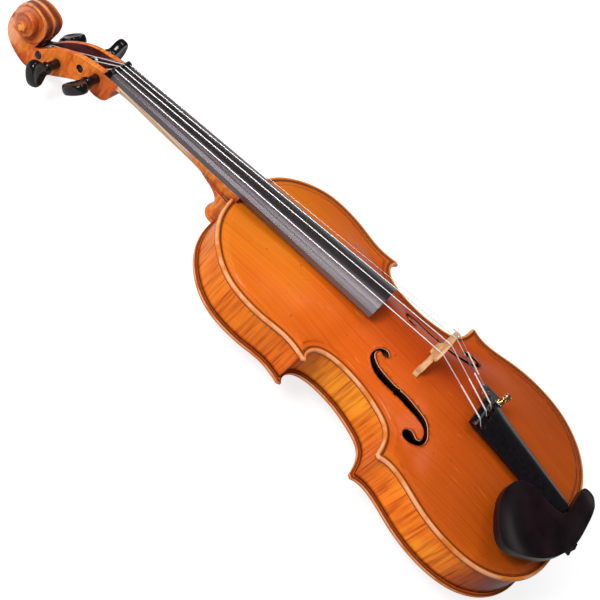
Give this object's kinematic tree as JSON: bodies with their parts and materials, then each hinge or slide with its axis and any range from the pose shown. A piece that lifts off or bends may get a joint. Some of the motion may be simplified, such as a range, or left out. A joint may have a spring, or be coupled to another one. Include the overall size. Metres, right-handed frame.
{
  "type": "violin",
  "caption": "Full-size violin with arched plates, pegs, strings, bridge, tailpiece with a fine tuner, and a clamped chinrest.",
  "frame": {"origin": "middle of the length and width, at the lowest place of the instrument lying on its back", "axes": "+Y from the tail end to the scroll, +Z out of the top plate, +X to the treble side"},
  "size_m": [0.208, 0.5972, 0.1123],
  "materials": {
    "top_spruce_varnish": "satin varnish",
    "maple_varnish": "satin varnish with dark flame",
    "purfling": "matte",
    "bare_willow": "raw",
    "bare_spruce": "raw",
    "ebony": "polished",
    "fret_metal": "satin",
    "bridge_maple": "raw",
    "cork": "matte",
    "string_silver": "wound",
    "string_aluminium": "wound",
    "string_steel": "plain",
    "sleeve_plastic": "satin",
    "gut_black": "matte",
    "tuner_nickel": "bright",
    "tuner_gold": "polished",
    "clamp_dark_metal": "blackened"
  },
  "bodies": {
    "violin_body": {"top_plate": "top_spruce_varnish", "back_plate": "maple_varnish", "lower_rib_treble": "maple_varnish", "lower_rib_bass": "maple_varnish", "centre_rib_treble": "maple_varnish", "centre_rib_bass": "maple_varnish", "upper_rib_treble": "maple_varnish", "upper_rib_bass": "maple_varnish", "neck": "maple_varnish", "top_purfling": "purfling", "back_purfling": "purfling", "end_block": "bare_willow", "neck_block": "bare_willow", "corner_blocks": "bare_willow", "top_linings": "bare_willow", "back_linings": "bare_willow", "bass_bar": "bare_spruce", "sound_post": "bare_spruce", "fingerboard": "ebony", "nut": "ebony", "saddle": "ebony", "tailpiece": "ebony", "end_button": "ebony", "chinrest": "ebony", "tailpiece_fret": "fret_metal", "bridge": "bridge_maple", "chinrest_corks": "cork", "g_string": "string_silver", "d_string": "string_silver", "a_string": "string_aluminium", "e_string": "string_steel", "string_sleeve": "sleeve_plastic", "tail_gut": "gut_black", "tuner_frame": "tuner_nickel", "tuner_pin": "tuner_nickel", "tuner_nut": "tuner_gold", "clamp_upper_bracket": "clamp_dark_metal", "bracket_screws": "clamp_dark_metal"},
    "tuner_screw": {"tuner_screw": "tuner_gold"},
    "tuner_knob": {"tuner_knob": "tuner_gold"},
    "tuner_lever": {"tuner_lever": "tuner_nickel"},
    "clamp_barrel_bass": {"clamp_barrel_bass": "clamp_dark_metal"},
    "clamp_barrel_treble": {"clamp_barrel_treble": "clamp_dark_metal"},
    "clamp_lower_bracket": {"clamp_lower_bracket": "clamp_dark_metal", "clamp_cork": "cork"},
    "g_peg": {"g_peg": "ebony", "g_string_coil": "string_silver"},
    "d_peg": {"d_peg": "ebony", "d_string_coil": "string_silver"},
    "a_peg": {"a_peg": "ebony", "a_string_coil": "string_aluminium"},
    "e_peg": {"e_peg": "ebony", "e_string_coil": "string_steel"}
  },
  "joints": [
    {"name": "g_peg_turn", "type": "hinge", "parent": "violin_body", "child": "g_peg", "pos_m": [0, 0.21112, 0.04848], "axis": [1, 0, 0], "continuous": true},
    {"name": "d_peg_turn", "type": "hinge", "parent": "violin_body", "child": "d_peg", "pos_m": [0, 0.24472, 0.02888], "axis": [1, 0, 0], "continuous": true},
    {"name": "a_peg_turn", "type": "hinge", "parent": "violin_body", "child": "a_peg", "pos_m": [0, 0.26192, 0.01918], "axis": [1, 0, 0], "continuous": true},
    {"name": "e_peg_turn", "type": "hinge", "parent": "violin_body", "child": "e_peg", "pos_m": [0, 0.22652, 0.04268], "axis": [1, 0, 0], "continuous": true},
    {"name": "tuner_knob_turn", "type": "hinge", "parent": "tuner_screw", "child": "tuner_knob", "pos_m": [0.0164, -0.18168, 0.09667], "axis": [0, 0, 1], "range_deg": [-901, 181]},
    {"name": "tuner_screw_travel", "type": "slide", "parent": "violin_body", "child": "tuner_screw", "axis": [0, 0, 1], "range_m": [-0.00125, 0.00025]},
    {"name": "tuner_lever_rock", "type": "hinge", "parent": "violin_body", "child": "tuner_lever", "pos_m": [0.0164, -0.16708, 0.08678], "axis": [1, 0, 0], "range_deg": [-1, 4.95]},
    {"name": "clamp_barrel_bass_turn", "type": "hinge", "parent": "violin_body", "child": "clamp_barrel_bass", "pos_m": [-0.014, -0.29328, 0.04838], "axis": [0, 0, 1], "range_deg": [0, 901]},
    {"name": "clamp_barrel_treble_turn", "type": "hinge", "parent": "violin_body", "child": "clamp_barrel_treble", "pos_m": [0.014, -0.29328, 0.04838], "axis": [0, 0, 1], "range_deg": [0, 901]},
    {"name": "clamp_bracket_travel", "type": "slide", "parent": "violin_body", "child": "clamp_lower_bracket", "axis": [0, 0, -1], "range_m": [0, 0.0035]}
  ],
  "couplings": [
    {"joint": "tuner_knob_turn", "follows": "tuner_screw_travel", "rad_per_m": 12566},
    {"joint": "tuner_lever_rock", "follows": "tuner_screw_travel", "rad_per_m": -68.493},
    {"joint": "clamp_barrel_bass_turn", "follows": "clamp_bracket_travel", "rad_per_m": 4488},
    {"joint": "clamp_barrel_treble_turn", "follows": "clamp_bracket_travel", "rad_per_m": 4488}
  ]
}
